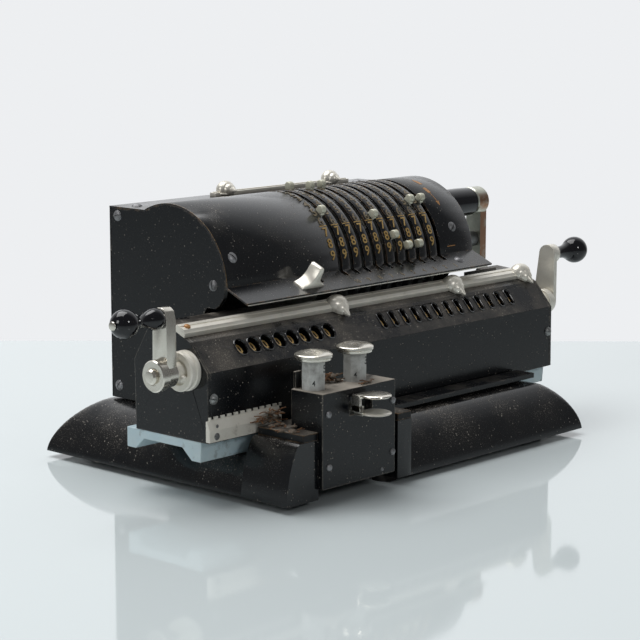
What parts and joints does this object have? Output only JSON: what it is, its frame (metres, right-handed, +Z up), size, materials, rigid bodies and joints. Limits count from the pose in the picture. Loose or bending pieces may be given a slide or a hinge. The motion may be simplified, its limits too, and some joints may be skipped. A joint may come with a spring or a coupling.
{
  "type": "pinwheel calculator",
  "caption": "Mechanical desk calculator: a crank turns a drum of setting levers above a sliding carriage of number wheels, shifted by two push buttons.",
  "frame": {"origin": "middle of the whole machine on the table, below its bounding box centre", "axes": "+X to the right along the front, +Y to the back, +Z up"},
  "size_m": [0.41, 0.217, 0.1584],
  "materials": {
    "black_enamel": "gloss",
    "casting_blue": "satin",
    "nickel": "gloss",
    "steel": "satin",
    "black_knob": "gloss",
    "rubber_foot": "matte",
    "wheel_black": "satin"
  },
  "bodies": {
    "frame": {"base_casing": "black_enamel", "front_ledge": "black_enamel", "front_rail": "black_enamel", "guide_rail": "steel", "base_feet": "rubber_foot", "left_side_plate": "black_enamel", "right_side_plate": "black_enamel", "top_cover": "black_enamel", "rear_cover": "black_enamel", "apron_strip": "nickel", "tie_rods": "steel", "bearing_bushes": "steel", "top_marker_rail": "nickel", "body_screws": "steel", "shift_housing": "black_enamel"},
    "rotor": {"main_shaft": "steel", "pinwheel_drum": "steel", "crank_arm": "nickel"},
    "crank_grip": {"crank_handle": "black_knob"},
    "carriage": {"carriage_bed": "casting_blue", "carriage_cover": "black_enamel", "left_end_plate": "black_enamel", "right_end_plate": "black_enamel", "left_hood": "black_enamel", "right_hood": "black_enamel", "marker_bar": "nickel", "scale_bar": "nickel", "notch_rack": "nickel", "wheel_shaft": "steel", "idler_shaft": "steel", "left_hub_collar": "nickel", "right_hub_collar": "nickel", "carriage_screws": "steel"},
    "lever_01": {"setting_lever_01": "nickel"},
    "lever_02": {"setting_lever_02": "nickel"},
    "lever_03": {"setting_lever_03": "nickel"},
    "lever_04": {"setting_lever_04": "nickel"},
    "lever_05": {"setting_lever_05": "nickel"},
    "lever_06": {"setting_lever_06": "nickel"},
    "lever_07": {"setting_lever_07": "nickel"},
    "lever_08": {"setting_lever_08": "nickel"},
    "lever_09": {"setting_lever_09": "nickel"},
    "lever_10": {"setting_lever_10": "nickel"},
    "result_row": {"result_wheels": "wheel_black"},
    "counter_row": {"counter_wheels": "wheel_black"},
    "idler_row": {"idler_gears": "steel"},
    "left_clearing_arm": {"left_clearing_crank": "nickel"},
    "left_clearing_grip": {"left_clearing_knob": "black_knob"},
    "right_clearing_arm": {"right_clearing_crank": "nickel"},
    "right_clearing_grip": {"right_clearing_knob": "black_knob"},
    "marker_1": {"carriage_marker_1": "nickel"},
    "marker_2": {"carriage_marker_2": "nickel"},
    "marker_3": {"carriage_marker_3": "nickel"},
    "top_marker_left_body": {"top_marker_left": "nickel"},
    "top_marker_right_body": {"top_marker_right": "nickel"},
    "catch": {"thumb_catch": "nickel"},
    "left_button": {"left_shift_button": "nickel"},
    "right_button": {"right_shift_button": "nickel"},
    "upper_pad": {"upper_finger_pad": "nickel"},
    "lower_pad": {"lower_finger_pad": "nickel"}
  },
  "joints": [
    {"name": "crank_turn", "type": "hinge", "parent": "frame", "child": "rotor", "pos_m": [0.00155, 0.02998, 0.1083], "axis": [1, 0, 0], "continuous": true},
    {"name": "crank_grip_spin", "type": "hinge", "parent": "rotor", "child": "crank_grip", "pos_m": [0.13755, 0.02998, 0.1334], "axis": [1, 0, 0], "continuous": true},
    {"name": "lever_01_set", "type": "hinge", "parent": "frame", "child": "lever_01", "pos_m": [0.00155, 0.02998, 0.1083], "axis": [1, 0, 0], "range_deg": [-45.5, 36.4]},
    {"name": "lever_02_set", "type": "hinge", "parent": "frame", "child": "lever_02", "pos_m": [0.00155, 0.02998, 0.1083], "axis": [1, 0, 0], "range_deg": [0, 81.9]},
    {"name": "lever_03_set", "type": "hinge", "parent": "frame", "child": "lever_03", "pos_m": [0.00155, 0.02998, 0.1083], "axis": [1, 0, 0], "range_deg": [-9.1, 72.8]},
    {"name": "lever_04_set", "type": "hinge", "parent": "frame", "child": "lever_04", "pos_m": [0.00155, 0.02998, 0.1083], "axis": [1, 0, 0], "range_deg": [-9.1, 72.8]},
    {"name": "lever_05_set", "type": "hinge", "parent": "frame", "child": "lever_05", "pos_m": [0.00155, 0.02998, 0.1083], "axis": [1, 0, 0], "range_deg": [-54.6, 27.3]},
    {"name": "lever_06_set", "type": "hinge", "parent": "frame", "child": "lever_06", "pos_m": [0.00155, 0.02998, 0.1083], "axis": [1, 0, 0], "range_deg": [-72.8, 9.1]},
    {"name": "lever_07_set", "type": "hinge", "parent": "frame", "child": "lever_07", "pos_m": [0.00155, 0.02998, 0.1083], "axis": [1, 0, 0], "range_deg": [-81.9, 0]},
    {"name": "lever_08_set", "type": "hinge", "parent": "frame", "child": "lever_08", "pos_m": [0.00155, 0.02998, 0.1083], "axis": [1, 0, 0], "range_deg": [-81.9, 0]},
    {"name": "lever_09_set", "type": "hinge", "parent": "frame", "child": "lever_09", "pos_m": [0.00155, 0.02998, 0.1083], "axis": [1, 0, 0], "range_deg": [-45.5, 36.4]},
    {"name": "lever_10_set", "type": "hinge", "parent": "frame", "child": "lever_10", "pos_m": [0.00155, 0.02998, 0.1083], "axis": [1, 0, 0], "range_deg": [-45.5, 36.4]},
    {"name": "carriage_shift", "type": "slide", "parent": "frame", "child": "carriage", "axis": [1, 0, 0], "range_m": [-0.04, 0.03]},
    {"name": "result_wheels_turn", "type": "hinge", "parent": "carriage", "child": "result_row", "pos_m": [0.00155, -0.03352, 0.0738], "axis": [1, 0, 0], "continuous": true},
    {"name": "counter_wheels_turn", "type": "hinge", "parent": "carriage", "child": "counter_row", "pos_m": [0.00155, -0.03352, 0.0738], "axis": [1, 0, 0], "continuous": true},
    {"name": "idler_gears_turn", "type": "hinge", "parent": "carriage", "child": "idler_row", "pos_m": [0.00155, -0.01733, 0.0832], "axis": [1, 0, 0], "continuous": true},
    {"name": "left_clearing_turn", "type": "hinge", "parent": "carriage", "child": "left_clearing_arm", "pos_m": [0.00155, -0.03352, 0.0738], "axis": [1, 0, 0], "continuous": true},
    {"name": "left_knob_spin", "type": "hinge", "parent": "left_clearing_arm", "child": "left_clearing_grip", "pos_m": [-0.18345, -0.03352, 0.1041], "axis": [1, 0, 0], "continuous": true},
    {"name": "right_clearing_turn", "type": "hinge", "parent": "carriage", "child": "right_clearing_arm", "pos_m": [0.00155, -0.03352, 0.0738], "axis": [1, 0, 0], "continuous": true},
    {"name": "right_knob_spin", "type": "hinge", "parent": "right_clearing_arm", "child": "right_clearing_grip", "pos_m": [0.18555, -0.03352, 0.1041], "axis": [1, 0, 0], "continuous": true},
    {"name": "marker_1_slide", "type": "slide", "parent": "carriage", "child": "marker_1", "axis": [1, 0, 0], "range_m": [-0.08, 0.045]},
    {"name": "marker_2_slide", "type": "slide", "parent": "carriage", "child": "marker_2", "axis": [1, 0, 0], "range_m": [-0.05, 0.03]},
    {"name": "marker_3_slide", "type": "slide", "parent": "carriage", "child": "marker_3", "axis": [1, 0, 0], "range_m": [-0.02, 0]},
    {"name": "top_marker_left_slide", "type": "slide", "parent": "frame", "child": "top_marker_left_body", "axis": [1, 0, 0], "range_m": [-0.004, 0.035]},
    {"name": "top_marker_right_slide", "type": "slide", "parent": "frame", "child": "top_marker_right_body", "axis": [1, 0, 0], "range_m": [-0.04, 0.01]},
    {"name": "catch_slide", "type": "slide", "parent": "frame", "child": "catch", "axis": [1, 0, 0], "range_m": [0, 0.006], "stiffness_N_per_m": 60, "springref_m": -0.001},
    {"name": "left_button_press", "type": "slide", "parent": "frame", "child": "left_button", "axis": [0, 0, -1], "range_m": [0, 0.006], "stiffness_N_per_m": 200, "springref_m": -0.003},
    {"name": "right_button_press", "type": "slide", "parent": "frame", "child": "right_button", "axis": [0, 0, -1], "range_m": [0, 0.006], "stiffness_N_per_m": 200, "springref_m": -0.003},
    {"name": "upper_pad_press", "type": "slide", "parent": "frame", "child": "upper_pad", "axis": [0, 0, -1], "range_m": [0, 0.0014], "stiffness_N_per_m": 300, "springref_m": -0.001},
    {"name": "lower_pad_press", "type": "slide", "parent": "frame", "child": "lower_pad", "axis": [0, 0, 1], "range_m": [0, 0.0014], "stiffness_N_per_m": 300, "springref_m": -0.001}
  ],
  "couplings": [
    {"joint": "idler_gears_turn", "follows": "result_wheels_turn", "ratio": -0.71429},
    {"joint": "lower_pad_press", "follows": "upper_pad_press", "ratio": 1}
  ]
}
